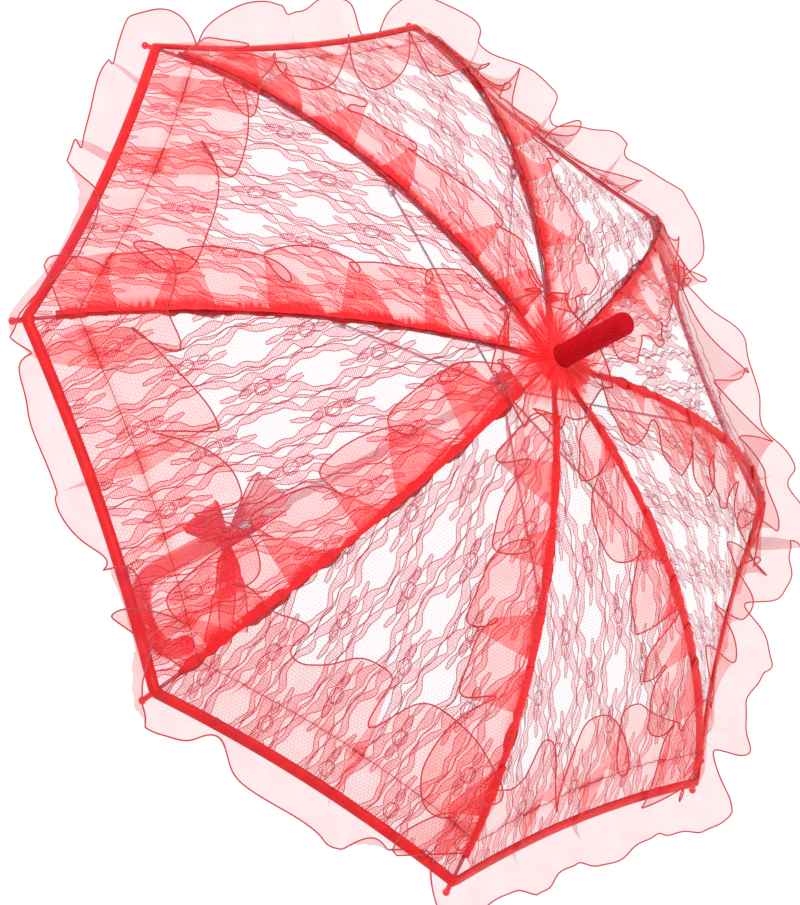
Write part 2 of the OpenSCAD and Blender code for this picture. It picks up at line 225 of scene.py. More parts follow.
# ---------------------------------------------------------------- materials
class Nodes:
    """Short forms for building a node tree."""

    def __init__(self, name):
        self.mat = bpy.data.materials.new(name)
        self.mat.use_nodes = True
        self.tree = self.mat.node_tree
        self.bsdf = self.tree.nodes["Principled BSDF"]

    def new(self, kind, **settings):
        n = self.tree.nodes.new(kind)
        for k, v in settings.items():
            setattr(n, k, v)
        return n

    def link(self, a, b):
        self.tree.links.new(a, b)

    def put(self, socket, value):
        if isinstance(value, bpy.types.NodeSocket):
            self.link(value, socket)
        else:
            socket.default_value = value

    def math(self, kind, a, b=None, clamp=False):
        n = self.new("ShaderNodeMath", operation=kind, use_clamp=clamp)
        self.put(n.inputs[0], a)
        if b is not None:
            self.put(n.inputs[1], b)
        return n.outputs[0]

    def uv(self):
        return self.new("ShaderNodeTexCoord").outputs["UV"]

    def place(self):
        return self.new("ShaderNodeTexCoord").outputs["Object"]

    def split(self, vector):
        n = self.new("ShaderNodeSeparateXYZ")
        self.link(vector, n.inputs[0])
        return n.outputs

    def noise(self, vector, scale, detail=3.0, rough=0.5):
        n = self.new("ShaderNodeTexNoise")
        self.put(n.inputs["Vector"], vector)
        n.inputs["Scale"].default_value = scale
        n.inputs["Detail"].default_value = detail
        n.inputs["Roughness"].default_value = rough
        return n.outputs["Fac"]

    def ramp(self, fac, stops, mode="LINEAR"):
        n = self.new("ShaderNodeValToRGB")
        n.color_ramp.interpolation = mode
        while len(n.color_ramp.elements) < len(stops):
            n.color_ramp.elements.new(0.5)
        for e, (at, colour) in zip(n.color_ramp.elements, stops):
            e.position = at
            e.color = (*colour, 1)
        self.put(n.inputs[0], fac)
        return n.outputs[0]

    def between(self, value, low, high, to_low=0.0, to_high=1.0):
        n = self.new("ShaderNodeMapRange")
        self.put(n.inputs["Value"], value)
        for key, x in (("From Min", low), ("From Max", high), ("To Min", to_low), ("To Max", to_high)):
            n.inputs[key].default_value = x
        return n.outputs[0]

    def bump(self, height, strength=0.3, distance=0.0003):
        n = self.new("ShaderNodeBump")
        n.inputs["Strength"].default_value = strength
        n.inputs["Distance"].default_value = distance
        self.put(n.inputs["Height"], height)
        self.link(n.outputs[0], self.bsdf.inputs["Normal"])

    def set(self, **values):
        for key, v in values.items():
            self.put(self.bsdf.inputs[key.replace("_", " ")], v)
        return self.mat


RED = (0.98, 0.016, 0.022)
# A darker copy of RED: painted shade for organza that stands free in a single layer.
SHADED_RED = (0.74, 0.034, 0.078)


def organza(name, cover, seam=3.0, depth=0.012, power=2.0, shade_from=None):
    """Sheer crisp cloth: a fine square weave, closer and in streaks towards the seam it is gathered on; those
    streaks are a darker red, painted shade in the folds.
    Past the given distance from the seam it is a single layer that stands free, coloured a darker red there
    as painted shade."""
    n = Nodes(name)
    uv = n.split(n.uv())
    pitch = 0.0007
    a = n.math("ABSOLUTE", n.math("SINE", n.math("MULTIPLY", uv[0], math.pi / pitch)))
    b = n.math("ABSOLUTE", n.math("SINE", n.math("MULTIPLY", uv[1], math.pi / pitch)))
    weave = n.math("MAXIMUM", a, b)
    cloud = n.noise(n.place(), 45.0, 2.0)
    stretch = n.new("ShaderNodeMapping")
    n.link(n.uv(), stretch.inputs["Vector"])
    stretch.inputs["Scale"].default_value = (330.0, 14.0, 1.0)
    streak = n.noise(stretch.outputs[0], 1.0, 3.0, 0.6)
    ragged = n.between(cloud, 0.3, 0.7, -0.3 * depth, 0.3 * depth)
    near = n.between(n.math("ADD", n.math("ABSOLUTE", uv[1]), ragged), 0.0, depth, 1.0, 0.0)
    gather = n.math("MULTIPLY", n.math("POWER", near, power), n.between(streak, 0.35, 0.65, 0.4, 1.4))
    closer = n.math("ADD", n.math("MULTIPLY", gather, seam - 1.0), 1.0)
    alpha = n.math("MULTIPLY", n.between(weave, 0.0, 1.0, 0.7 * cover, 1.1 * cover),
                   n.math("MULTIPLY", n.between(cloud, 0.3, 0.7, 0.85, 1.15), closer))
    if shade_from is None:
        free = 1.0
        # Darker red in the streaks near the seam: painted shade in the gathers' folds.
        tint = n.ramp(n.math("MULTIPLY", streak, near), [(0.2, RED), (0.6, (0.78, 0.006, 0.013))])
    else:
        free = n.between(uv[1], shade_from, shade_from + 0.012, 0.80, 0.72)
        # Past the given distance from the seam the tint turns to the darker red: painted shade on the free
        # single layer.
        tint = n.ramp(n.between(uv[1], shade_from, shade_from + 0.012), [(0.0, RED), (1.0, SHADED_RED)])
    n.bump(weave, 0.15, 0.0001)
    return n.set(Base_Color=tint, Alpha=n.math("MULTIPLY", alpha, free, clamp=True), Roughness=0.5,
                 Specular_IOR_Level=0.25, Sheen_Weight=0.1)


def gathered():
    """Organza drawn together along a rib or a knot, in folds that run along it, darker in the folds' hollows
    as painted shade.
    """
    n = Nodes("organza_gathered")
    uv = n.new("ShaderNodeMapping")
    n.link(n.uv(), uv.inputs["Vector"])
    uv.inputs["Scale"].default_value = (60.0, 1100.0, 1.0)
    streak = n.noise(uv.outputs[0], 1.0, 4.0, 0.6)
    cloud = n.noise(n.place(), 220.0, 3.0)
    mix = n.math("ADD", n.math("MULTIPLY", streak, 0.7), n.math("MULTIPLY", cloud, 0.3))
    # Darker where the folds sink: painted shade in their hollows; the cloud adds tone at random.
    tint = n.ramp(mix, [(0.36, (0.13, 0.001, 0.006)), (0.50, (0.42, 0.003, 0.009)),
                        (0.66, (0.76, 0.010, 0.016))])
    n.bump(mix, 0.6, 0.0005)
    return n.set(Base_Color=tint, Alpha=0.95, Roughness=0.6, Specular_IOR_Level=0.25)


def satin():
    """The binding on the hem: close twill with a soft shine."""
    n = Nodes("satin_binding")
    uv = n.split(n.uv())
    diagonal = n.math("SINE", n.math("MULTIPLY", n.math("ADD", uv[0], uv[1]), 2 * math.pi / 0.0009))
    cloud = n.noise(n.place(), 90.0)
    tint = n.ramp(cloud, [(0.3, (0.64, 0.004, 0.008)), (0.7, (0.88, 0.010, 0.014))])
    n.bump(diagonal, 0.25, 0.00012)
    return n.set(Base_Color=tint, Roughness=0.42, Specular_IOR_Level=0.25, Sheen_Weight=0.1)


def thread(name, dark, light):
    """Twisted overlock thread along an edge, darker in the grooves of its twist as painted shade."""
    n = Nodes(name)
    turns = n.math("SINE", n.math("MULTIPLY", n.split(n.uv())[0], 2 * math.pi / 0.0016))
    # Darker where the twist sinks: painted shade in its grooves.
    tint = n.ramp(n.between(turns, -1.0, 1.0), [(0.0, dark), (1.0, light)])
    n.bump(turns, 0.5, 0.0002)
    return n.set(Base_Color=tint, Roughness=0.55, Sheen_Weight=0.2)


def net():
    """Hexagon net: three sets of fine threads around open cells."""
    n = Nodes("lace_net")
    uv = n.split(n.uv())
    pitch = 0.0026
    lines = []
    for turn in (0.0, math.pi / 3, 2 * math.pi / 3):
        along = n.math("ADD", n.math("MULTIPLY", uv[0], math.cos(turn) / pitch),
                       n.math("MULTIPLY", uv[1], math.sin(turn) / pitch))
        lines.append(n.math("COSINE", n.math("MULTIPLY", along, 2 * math.pi)))
    total = n.math("ADD", n.math("ADD", lines[0], lines[1]), lines[2])
    threads = n.between(total, -1.25, -0.6, 1.0, 0.0)
    alpha = n.math("ADD", n.math("MULTIPLY", threads, 0.36), 0.06)
    tint = n.ramp(threads, [(0.0, (0.84, 0.62, 0.70)), (1.0, (0.54, 0.24, 0.34))])
    return n.set(Base_Color=tint, Alpha=alpha, Roughness=0.7)


def leaf():
    """Leaf filling of the lace: close parallel threads with net showing between."""
    n = Nodes("lace_leaf")
    uv = n.split(n.uv())
    rows = n.math("SINE", n.math("MULTIPLY", uv[0], 2 * math.pi / 0.0016))
    wobble = n.noise(n.place(), 260.0, 2.0)
    alpha = n.math("ADD", n.between(rows, -0.3, 0.8, 0.20, 0.62), n.between(wobble, 0.3, 0.7, -0.08, 0.08))
    tint = n.ramp(n.between(rows, -1.0, 1.0), [(0.0, (0.92, 0.17, 0.26)), (1.0, (0.70, 0.035, 0.09))])
    n.bump(rows, 0.3, 0.0001)
    return n.set(Base_Color=tint, Alpha=alpha, Roughness=0.65, Sheen_Weight=0.2)


def outline_thread():
    """The heavier thread round each leaf."""
    n = Nodes("lace_outline")
    spots = n.noise(n.place(), 420.0, 2.0)
    tint = n.ramp(spots, [(0.38, (0.24, 0.007, 0.028)), (0.62, (0.72, 0.022, 0.055))])
    alpha = n.between(spots, 0.3, 0.55, 0.7, 1.0)
    return n.set(Base_Color=tint, Alpha=alpha, Roughness=0.7)


def steel(name, base, rough):
    """Drawn metal with fine streaks along the shaft."""
    n = Nodes(name)
    p = n.new("ShaderNodeMapping")
    n.link(n.place(), p.inputs["Vector"])
    p.inputs["Scale"].default_value = (1.0, 1.0, 0.06)
    lines = n.noise(p.outputs[0], 500.0, 4.0)
    spots = n.noise(n.place(), 60.0)
    tint = n.ramp(spots, [(0.3, tuple(0.8 * c for c in base)), (0.7, base)])
    n.bump(lines, 0.12, 0.0001)
    return n.set(Base_Color=tint, Metallic=1.0, Roughness=n.between(lines, 0.3, 0.7, rough, rough + 0.18))


def gloss_red():
    """Glossy moulded plastic of the handle and the tips."""
    n = Nodes("handle_gloss_red")
    soft = n.noise(n.place(), 30.0, 2.0)
    fine = n.noise(n.place(), 700.0, 2.0)
    tint = n.ramp(soft, [(0.3, (0.86, 0.008, 0.014)), (0.7, (0.95, 0.016, 0.020))])
    n.bump(n.noise(n.place(), 120.0, 1.0), 0.06, 0.0002)
    return n.set(Base_Color=tint, Roughness=n.between(fine, 0.35, 0.65, 0.10, 0.2), Coat_Weight=0.5,
                 Specular_IOR_Level=0.6)


def wrap():
    """Dark red net wound tight round the ferrule, darker in the low gaps between its cells as painted shade.
    """
    n = Nodes("ferrule_wrap")
    grain = n.noise(n.place(), 900.0, 4.0, 0.7)
    cell = n.new("ShaderNodeTexVoronoi", feature="DISTANCE_TO_EDGE")
    n.link(n.place(), cell.inputs["Vector"])
    cell.inputs["Scale"].default_value = 700.0
    mix = n.math("MULTIPLY", n.between(cell.outputs["Distance"], 0.0, 0.12, 0.3, 1.0), grain)
    # Darker at the cells' low edges: painted shade in the gaps; the grain adds the net's own spread of tone.
    tint = n.ramp(mix, [(0.1, (0.16, 0.0, 0.004)), (0.3, (0.50, 0.002, 0.010)), (0.62, (0.78, 0.004, 0.014))])
    n.bump(mix, 0.9, 0.0006)
    return n.set(Base_Color=tint, Roughness=0.85, Specular_IOR_Level=0.12)


MATS = {
    "hem": organza("organza_hem", 0.32, 1.9, 0.010, 2.0, 0.034),
    "frill": organza("organza_frill", 0.32, 3.6, 0.013),
    "fan": organza("organza_rosette", 0.30, 5.0, 0.036, 1.0),
    "ribbon": organza("organza_ribbon", 0.40, 4.2, 0.052, 1.2),
    "gather": gathered(),
    "satin": satin(),
    "edge": thread("overlock_thread", (0.42, 0.004, 0.012), (0.78, 0.02, 0.03)),
    "stitch": thread("stitch_thread", (0.16, 0.004, 0.012), (0.34, 0.008, 0.02)),
    "net": net(),
    "leaf": leaf(),
    "outline": outline_thread(),
    "shaft": steel("plated_tube", (0.62, 0.62, 0.64), 0.28),
    "wire": steel("rib_wire", (0.36, 0.17, 0.18), 0.42),
    "spring": steel("spring_steel", (0.55, 0.52, 0.46), 0.25),
    "hub": steel("pressed_hub", (0.55, 0.55, 0.56), 0.35),
    "gloss_red": gloss_red(),
    "wrap": wrap(),
}


def with_rib(obj, i, side=0):
    """obj rides on rib i. Given a side, it gets its own copy of its mesh."""
    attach(obj, f"rib_{i}")
    if side:
        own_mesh(obj)
    return obj


SIDES = {1: "a", -1: "b"}        # a is the anticlockwise half gore beside a rib, seen from above


# ---------------------------------------------------------------- lace
def net_piece(i, side):
    """The net ground of one half gore."""
    rows, cols = 60, 18
    v = np.linspace(0, 1, cols)[None, :] * np.ones((rows, 1))
    t = np.linspace(0, 1, rows)[:, None]
    s = t * arc_of(hem_r(v))
    pucker = 0.0007 * np.sin(2 * math.pi * s / 0.031 + i) * np.exp(-v * CHORD_SIDE * r_of(s) / 0.03)
    points = on_gore(s, side * v, LACE_LIFT + pucker * np.minimum(1, v * 8))
    across = CHORD_SIDE * r_of(s) / math.cos(HALF) * (1 - v)
    uvs = np.stack([s, side * across], -1)
    name = f"lace_net_{i}_{SIDES[side]}"
    return mesh_piece(name, turned(points.reshape(-1, 3), ANGLE[i]), grid_faces(rows, cols, flip=side > 0),
                      uvs.reshape(-1, 2), [MATS["net"]])


PERIOD = 0.093                   # repeat of the lace's pattern along a gore
ROW = 0.030                      # distance between two of its rows, which are half a repeat apart
HALF_THREAD = 0.00031


def strips(low, high):
    """The filling between two offsets and the heavier thread along each."""
    threads = [(at - HALF_THREAD, at + HALF_THREAD, 1) for at in (low, high)]
    return [(low, high, 0), *threads]


def chain(s, centre, half_width, put):
    """A strip of leaves along a line."""
    slope = np.gradient(centre, s)
    normal = np.stack([-slope, np.ones_like(s)], 1)
    normal /= np.linalg.norm(normal, axis=1, keepdims=True)
    line = np.stack([s, centre], 1)
    for low, high, index in strips(-half_width, half_width):
        share = np.linspace(0, 1, 2 if index else 3)
        offset = low[:, None] * (1 - share) + high[:, None] * share
        put(line[:, None] + normal[:, None] * offset[..., None], index)


def ring(s0, t0, length, width, band, turn, put):
    """An open oval with a narrow filled rim that swells on two sides."""
    a = np.linspace(0, 2 * math.pi, 33)
    c, z = math.cos(turn), math.sin(turn)
    swell = band * (0.5 + 0.5 * np.abs(np.sin(a)) ** 1.5) / 2
    for low, high, index in strips(-swell, swell):
        pair = []
        for extra in (low, high):
            x, y = (length + extra) * np.cos(a), (width + extra) * np.sin(a)
            pair.append(np.stack([s0 + x * c - y * z, t0 + x * z + y * c], -1))
        put(np.stack(pair, 1), index)


def leaf_shape(s0, t0, length, width, turn, put):
    """A pointed leaf."""
    x = np.linspace(-1, 1, 13)
    w = width * np.maximum(1 - x * x, 0) ** 0.8
    c, z = math.cos(turn), math.sin(turn)
    for low, high, index in strips(-w, w):
        along = np.stack([x * length, x * length], 1)
        across = np.stack([low, high], 1)
        put(np.stack([s0 + along * c - across * z, t0 + along * z + across * c], -1), index)


def flowers_piece(i, side):
    """The leaves, windows and outline threads worked into one half gore.

    The pattern belongs to the whole gore, so both of its halves use the gore's own number.
    It is laid out flat, s along the gore and t across it from its middle."""
    gore = i if side > 0 else (i - 2) % 8 + 1
    gather = Gather()
    s_start, s_end = arc_of(0.020), arc_of(HEM_R) + 0.002

    def put(flat, index):
        """Adds a strip, with what reaches past this half gore pressed on to its outline."""
        t = flat[..., 1] * -side
        r = r_of(np.clip(flat[..., 0], s_start, s_end))
        limit = CHORD_SIDE * r / math.cos(HALF)
        v = 1 - np.clip(t, 0, limit) / limit
        over = arc_of(hem_r(v))
        kept = (t > 0) & (t < limit) & (flat[..., 0] < over) & (flat[..., 0] > s_start)
        quads = grid_faces(*flat.shape[:2], flip=True)
        quads = quads[kept.reshape(-1)[quads].any(1)]
        if len(quads):
            s = np.clip(flat[..., 0], s_start, over)
            points = on_gore(s, side * v, LACE_LIFT + (0.00035 if index else 0.00018))
            gather.add(points, quads, flat, index)

    s = np.arange(s_start, s_end + 0.0026, 0.0026)
    rows = int(CHORD_SIDE * HEM_R / math.cos(HALF) / ROW) + 2
    for k in range(-rows, rows + 1):
        rng = random.Random(100 * gore + k)
        middle = (k + (gore * 0.37) % 1) * ROW
        start = ((gore * 0.29) % 1 + 0.5 * (k % 2) + rng.uniform(-0.03, 0.03)) * PERIOD
        turn = 2 * math.pi * (s - start) / PERIOD
        open_here = (0.5 - 0.5 * np.cos(turn)) ** 2.4
        for way, leaves_from in ((1, 0.0), (-1, math.pi / 2)):
            wander = 0.0014 * np.sin(3 * turn + rng.uniform(0, 6))
            wander = wander + 0.0009 * np.sin(5 * turn + rng.uniform(0, 6))
            centre = middle + way * (0.0074 + 0.0062 * open_here) + wander
            leaf_swell = np.abs(np.cos(2 * turn + leaves_from)) ** 0.8
            width = 0.0005 + 0.0013 * open_here + 0.0036 * (1 - open_here) * leaf_swell
            chain(s, centre, width, put)
        strand = middle + 0.5 * ROW - 0.0012 * np.cos(turn) + 0.0011 * np.sin(4 * turn + k)
        chain(s, strand, 0.00015 + 0.0009 * np.abs(np.sin(1.5 * turn + k)) ** 3, put)
        small = np.abs(np.sin(2.5 * turn)) ** 0.9 * (1 - open_here) ** 1.5
        inner = (1 - open_here) > 0.35
        centre = middle + 0.0016 * np.sin(2 * turn + k)
        run = np.flatnonzero(inner)
        for part in np.split(run, np.flatnonzero(np.diff(run) > 1) + 1):
            if len(part) > 3:
                chain(s[part], centre[part], 0.0003 + 0.0028 * small[part], put)
        for m in range(-1, int(s_end / PERIOD) + 2):
            at = start + m * PERIOD
            ring(at, middle + 0.0004, 0.0062, 0.0040, 0.0022, 0.2, put)
            for way in (-1, 1):
                leaf_shape(at + way * 0.0135, middle + way * 0.0014, 0.0058, 0.0026, 0.2, put)
    return gather.piece(f"lace_flowers_{i}_{SIDES[side]}", [MATS["leaf"], MATS["outline"]], ANGLE[i])


def binding_piece(i, side):
    """Satin band folded over the hem."""
    cols = 40
    v = np.linspace(0, 1, cols)
    s = arc_of(hem_r(v))
    section = [(-0.0072, 0.0008), (-0.0069, 0.0021), (-0.0034, 0.0027), (0.0003, 0.0024), (0.0014, 0.0009),
               (0.0008, -0.0006), (-0.0034, -0.0010), (-0.0069, -0.0006), (-0.0072, 0.0)]
    rows = [on_gore(s + ds, side * v, LACE_LIFT + dh) for ds, dh in section]
    points = np.stack(rows, 0)
    uvs = np.stack([np.stack([0.4 * side * v * OPEN_R + 0 * s, 0 * s + ds], -1) for ds, _ in section], 0)
    return mesh_piece(f"hem_binding_{i}_{SIDES[side]}", turned(points.reshape(-1, 3), ANGLE[i]),
                      grid_faces(len(section), cols, flip=side < 0), uvs.reshape(-1, 2), [MATS["satin"]])


# ---------------------------------------------------------------- gathered organza
def swing(u, seed, waves=((1, 0.9), (2, 0.7), (3, 0.5), (5, 0.35))):
    """A smooth irregular function with period 1."""
    rng = random.Random(seed)
    return sum(a * np.sin(2 * math.pi * n * u + rng.uniform(0, 6.28)) for n, a in waves)


EDGE_THREAD = 0.0006             # radius of the overlock on the edge of a ruffle
HEM_WAVES = 26                   # folds of the hem ruffle round the whole hem
SEAM_IN = 0.040                  # the ruffle is stitched on this far inside the hem
OUT_WIDTH = 0.077                # cloth outside the stitching
IN_WIDTH = 0.064                 # cloth inside it
# Where the outer part is folded back at the hem: its place, half its length and how much of it
TUCKED = ((1.78, 0.30, 0.95), (2.82, 0.24, 0.95), (3.84, 0.20, 0.85))
FLARED = 6.4                     # where the outer edge stands out most, opposite to where it hangs most
HANGING = math.radians(-47)      # slope of the outer part where it leaves the hem
FLARE_TURN = math.radians(80)    # how far it bends up from that slope where it stands out most
FLARE_BEND = 0.018               # the bend is this long
SEAM_PINCH = 0.009               # the binding holds the ruffle down this far to each side of the hem
FREE_FOLD = 0.038                # how far the outer part reaches where it isn't folded back
IN_ROWS, OUT_ROWS, HEM_COLS = 12, 18, 110   # points across the two parts and along half a gore
SEAM_ROW = IN_ROWS - 1
FIRST_RIB = math.radians(-157.5)  # direction of rib 1, with the others 45 degrees apart


def hem_cloth(turn, w):
    """Point of the hem ruffle. turn is 0 to 8 round the parasol, a whole number on each rib,
    and w is the distance across the cloth from the stitching, positive outwards."""
    u = turn / 8
    theta = 2 * math.pi * HEM_WAVES * u + 2.0 * swing(u, 11) + 0.8 * swing(5 * u, 3)
    wavelength = 8 / HEM_WAVES
    out = np.maximum(w, 0) / OUT_WIDTH
    inn = np.maximum(-w, 0) / IN_WIDTH
    reach = np.maximum(out, inn)
    k = (1.9 - 0.45 * inn - 1.35 * np.minimum(out, 1)) * (1 + 0.25 * swing(3 * u, 5))
    lean = (0.10 * swing(7 * u, 8) + 0.07 * swing(11 * u, 9)) * wavelength
    along = turn + k * wavelength / (2 * math.pi) * np.sin(theta) + lean * (0.5 * out - inn)
    low_in = ((1 - np.cos(theta - 0.7)) / 2) ** 1.4 * (1 + 0.25 * swing(4 * u, 21))
    notch = ((1 + np.cos(0.5 * theta - 1.3)) / 2) ** 4 * (0.7 + 0.5 * swing(5 * u, 22))
    tucked = sum(a * np.exp(-((turn - c) / h) ** 4) for c, h, a in TUCKED)
    flare = 0.5 + 0.5 * np.cos((turn - FLARED) * math.pi / 4)
    shrink = 0.50 * low_in * inn + (0.34 * notch + 0.15 * (1 - flare)) * out**2
    stand = 0.016 * low_in * inn**1.3
    high = 0.0010 + 0.0046 * reach * (1 - 0.7 * tucked)
    pleats = 0.0006 * np.sin(13 * theta + 2 * swing(6 * u, 4)) * np.exp(-np.abs(w) / 0.014)
    fine = 0.0010 * np.sin(3 * theta + 3 * swing(3 * u, 14)) * reach
    lift = 0.0028 + high * (1 - np.sin(theta)) + pleats + fine + stand
    ds = w * (0.955 - shrink) - SEAM_IN
    lift = LACE_LIFT + 0.0006 + lift * (1 - 0.93 * np.exp(-((ds / SEAM_PINCH) ** 2)))
    folded = np.maximum(ds - 0.0015 - FREE_FOLD * (1 - tucked), 0)
    ds = ds - 2 * folded
    lift = lift + 0.0016 * np.minimum(folded / 0.004, 1)
    beyond = np.maximum(ds, 0)
    rib = np.round(along)
    v = 2 * (along - rib)
    p = on_gore(arc_of(hem_r(v)) + np.minimum(ds, 0), v, lift, 0.007)
    bend = np.minimum(beyond / FLARE_BEND, 1)
    rise = HANGING + FLARE_TURN * flare * bend * (2 - bend) + 0.10 * np.sin(theta + 2.2) * out
    p[..., :2] *= (1 + beyond * np.cos(rise) / np.hypot(p[..., 0], p[..., 1]))[..., None]
    p[..., 2] += beyond * np.sin(rise)
    a = FIRST_RIB + (rib - 1) * math.pi / 4
    x, y = p[..., 0].copy(), p[..., 1].copy()
    p[..., 0] = x * np.cos(a) - y * np.sin(a)
    p[..., 1] = x * np.sin(a) + y * np.cos(a)
    return p


def row_lengths(points):
    """Distance run along each row of a grid of points."""
    step = np.linalg.norm(np.diff(points, axis=1), axis=-1)
    return np.concatenate([np.zeros((len(points), 1)), np.cumsum(step, 1)], 1)


def area_under(heights, places):
    """Area under a line of heights at the given places."""
    return float((0.5 * (heights[1:] + heights[:-1]) * np.diff(places)).sum())


def hem_ruffle_piece(i, side):
    """One half gore's stretch of the ruffle, its edges, its length along the stitching and its cut's area.

    Its rows have different lengths, so the strip's cut is slightly curved. The area is never more than
    the rectangle's that the flat size gives."""
    turn = i + side * np.linspace(0, 0.5, HEM_COLS)
    w = np.concatenate([np.linspace(-IN_WIDTH, 0, IN_ROWS)[:-1], np.linspace(0, OUT_WIDTH, OUT_ROWS)])
    points = hem_cloth(turn[None, :] * np.ones((len(w), 1)), w[:, None] * np.ones((1, HEM_COLS)))
    runs = row_lengths(points)
    run = runs[SEAM_ROW]
    uvs = np.stack([np.tile(run * side, (len(w), 1)), np.tile(w[:, None], (1, HEM_COLS))], -1)
    tag = f"{i}_{SIDES[side]}"
    cloth = mesh_piece(f"hem_ruffle_{tag}", points.reshape(-1, 3),
                       grid_faces(len(w), HEM_COLS, flip=side < 0), uvs.reshape(-1, 2), [MATS["hem"]])
    edges = Gather()
    for row, radius, index in ((0, EDGE_THREAD, 0), (len(w) - 1, EDGE_THREAD, 0), (SEAM_ROW, 0.00026, 1)):
        line = points[row] + np.array([0, 0, 0.0004 if row == SEAM_ROW else 0])
        p, f = tube(line, radius, 5)
        length = np.repeat(np.concatenate([[0], np.cumsum(np.linalg.norm(np.diff(line, axis=0), axis=1))]), 5)
        edges.add(p, f, np.stack([length, 0 * length], 1), index)
    edge = edges.piece(f"hem_ruffle_edges_{tag}", [MATS["edge"], MATS["stitch"]])
    return cloth, edge, run[-1], min(area_under(runs[:, -1], w), (OUT_WIDTH + IN_WIDTH) * run[-1])


RIB_RUFFLE = (0.044, 0.342)      # the ruffle beside a rib runs between these distances from the shaft
RIB_RUFFLE_W = 0.058             # width of its cloth near the hem
RIB_WAVES = 6                    # its folds


def rib_ruffle_piece(i):
    """Strip gathered along its rib, lying in folds over the lace on the clockwise side.

    It is cut narrower towards the crown."""
    r0, r1 = RIB_RUFFLE
    length = arc_of(r1) - arc_of(r0)
    cols, rows = 190, 14
    t = np.linspace(0, 1, cols)[None, :]
    q = np.linspace(0, 1, rows)[:, None]
    wobble = swing(t, 20 + i, ((1, 0.8), (2, 0.6), (3, 0.4)))
    theta = 2 * math.pi * RIB_WAVES * t + 1.35 * wobble + 0.9 * i
    k = (3.7 - 1.9 * q) * (1 + 0.22 * swing(t, 40 + i))
    wavelength = length / RIB_WAVES
    ends = np.minimum(1, 10 * np.minimum(t, 1 - t))
    lean = 0.16 * wavelength * swing(t, 60 + i) * q
    s = arc_of(r0) + t * length + ends * (k * wavelength / (2 * math.pi) * np.sin(theta) + lean)
    s = np.clip(s, arc_of(r0) - 0.004, arc_of(r1) + 0.006)
    width = np.minimum(RIB_RUFFLE_W, 0.72 * r_of(s)) * (0.93 + 0.07 * swing(t, 70 + i, ((3, 0.8), (4, 0.6))))
    uneven = np.clip(0.9 + 0.45 * swing(t, 80 + i, ((2, 0.8), (5, 0.7))), 0.1, 1.6)
    low = ((1 - np.cos(theta - 0.7)) / 2) ** 1.5 * uneven
    across = q * width * (0.97 - 0.44 * q * low)
    high = 0.0008 + 0.0038 * q
    pleats = 0.0006 * np.sin(13 * theta) * np.exp(-q * width / 0.014)
    fine = 0.0011 * np.sin(3 * theta + wobble) * q
    lift = LACE_LIFT + 0.0026 + high * (1 - np.sin(theta)) + pleats + fine + 0.006 * low * q**1.4
    points = above(r_of(s), 0.0006 - across, lift, 0.004)
    run = row_lengths(points)[0]
    uvs = np.stack([np.tile(run, (rows, 1)), q * width + 0 * t], -1)
    points = turned(points.reshape(-1, 3), ANGLE[i])
    cloth = mesh_piece(f"rib_frill_{i}", points, grid_faces(rows, cols, flip=False), uvs.reshape(-1, 2),
                       [MATS["frill"]])
    grid = points.reshape(rows, cols, 3)
    line = np.concatenate([grid[:, 0], grid[-1, 1:-1], grid[::-1, -1]])
    edges = Gather()
    p, f = tube(line, EDGE_THREAD, 5)
    step = np.linalg.norm(np.diff(line, axis=0), axis=1)
    along = np.repeat(np.concatenate([[0], np.cumsum(step)]), 5)
    edges.add(p, f, np.stack([along, 0 * along], 1), 0)
    edge = edges.piece(f"rib_frill_edge_{i}", [MATS["edge"]])
    return cloth, edge, run[-1], area_under(width[0], run)


def rib_band_piece(i):
    """The gathered heading of the rib ruffle, sewn down over the rib in uneven folds."""
    r0, r1 = 0.016, 0.345
    rows, cols = 260, 13
    t = np.linspace(0, 1, rows)[:, None]
    q = np.linspace(-1, 1, cols)[None, :]
    s = arc_of(r0) + t * (arc_of(r1) - arc_of(r0))
    uneven = np.clip(swing(3 * t, 100 + i) + 0.7 * swing(8 * t, 140 + i), -1.3, 1.5)
    side_uneven = 0.0006 * swing(6 * t, 160 + i) * np.abs(q)
    wide = np.clip((r_of(s) - 0.048) / 0.012, 0, 1)
    half_width = 0.0013 + (0.0012 + 0.0009 * uneven) * wide * wide * (3 - 2 * wide)
    folds = 0.00028 * np.sin(7 * q + 2.5 * swing(5 * t, 120 + i))
    folds = folds + 0.00018 * np.sin(2 * math.pi * s / 0.011 + 3 * q)
    lift = LACE_LIFT + 0.0009 + 0.0013 * (1 - q**2) + folds * (1 - q**4)
    points = above(r_of(s), q * (half_width + side_uneven) - 0.0004, lift, 0.004)
    uvs = np.stack([s + 0 * q, q * half_width], -1)
    gather = Gather()
    gather.add(points, grid_faces(rows, cols, flip=True), uvs)
    for column, inset in ((0, 0.0002), (-1, -0.0002)):
        line = points[:, column] + np.array([0, inset, 0.0003])
        p, f = tube(line, 0.00035, 5)
        along = np.repeat(s[:, 0], 5)
        gather.add(p, f, np.stack([along, 0 * along], 1), 1)
    return gather.piece(f"rib_band_{i}", [MATS["gather"], MATS["edge"]], ANGLE[i])


ROSETTE_R = 0.057                # reach of its rim, before it is made uneven
ROSETTE_INNER_R = 0.0085         # it starts just inside the ferrule's wall
ROSETTE_Z = 0.5086               # height that its folds are counted from
ROSETTE_WAVES = 9                # folds round the rim
ROSETTE_WIDTH = 0.047            # its cloth from the ferrule to the rim, as its weave counts it


